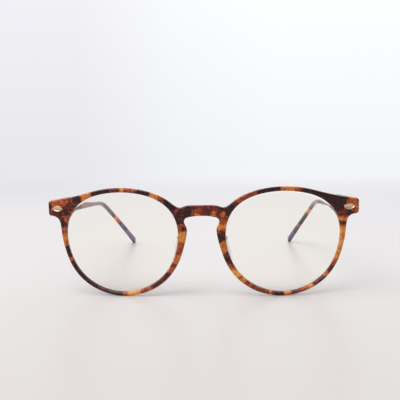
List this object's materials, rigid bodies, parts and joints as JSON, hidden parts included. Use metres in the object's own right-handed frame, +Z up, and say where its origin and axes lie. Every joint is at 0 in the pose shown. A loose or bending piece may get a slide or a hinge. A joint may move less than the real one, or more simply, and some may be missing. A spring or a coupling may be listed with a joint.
{
  "type": "blue light glasses",
  "caption": "Round tortoiseshell glasses with a keyhole bridge, clear blue light lenses and temples that fold inwards on riveted barrel hinges.",
  "frame": {"origin": "on the table that the rims and the temple tips stand on, under the middle of the whole object", "axes": "+X to the wearer's left, -Y the way the front faces, +Z up"},
  "size_m": [0.1396, 0.1458, 0.0492],
  "materials": {
    "tortoise_acetate": "polished, mottled brown, amber and dark maroon",
    "clear_acetate": "polished, clear",
    "lens_resin": "clear with a faint cream cast and a violet reflex coating",
    "pale_gold": "polished pale gold plating",
    "hinge_metal": "satin nickel silver",
    "core_metal": "drawn metal strip"
  },
  "bodies": {
    "front": {"frame_front": "tortoise_acetate", "lens_left": "lens_resin", "lens_right": "lens_resin", "nose_pad_left": "clear_acetate", "nose_pad_right": "clear_acetate", "shield_left": "pale_gold", "shield_right": "pale_gold", "hinge_front_leaf_left": "hinge_metal", "hinge_front_leaf_right": "hinge_metal", "hinge_screw_left": "hinge_metal", "hinge_screw_right": "hinge_metal"},
    "temple_left": {"temple_left": "tortoise_acetate", "temple_core_left": "core_metal", "hinge_temple_leaf_left": "hinge_metal", "temple_rivet_front_left": "hinge_metal", "temple_rivet_rear_left": "hinge_metal"},
    "temple_right": {"temple_right": "tortoise_acetate", "temple_core_right": "core_metal", "hinge_temple_leaf_right": "hinge_metal", "temple_rivet_front_right": "hinge_metal", "temple_rivet_rear_right": "hinge_metal"}
  },
  "joints": [
    {"name": "temple_left_fold", "type": "hinge", "parent": "front", "child": "temple_left", "pos_m": [0.0647, -0.05934, 0.03922], "axis": [0, -0.05, 0.9988], "range_deg": [0, 82]},
    {"name": "temple_right_fold", "type": "hinge", "parent": "front", "child": "temple_right", "pos_m": [-0.0647, -0.05934, 0.03922], "axis": [0, 0.05, -0.9988], "range_deg": [0, 76]}
  ]
}
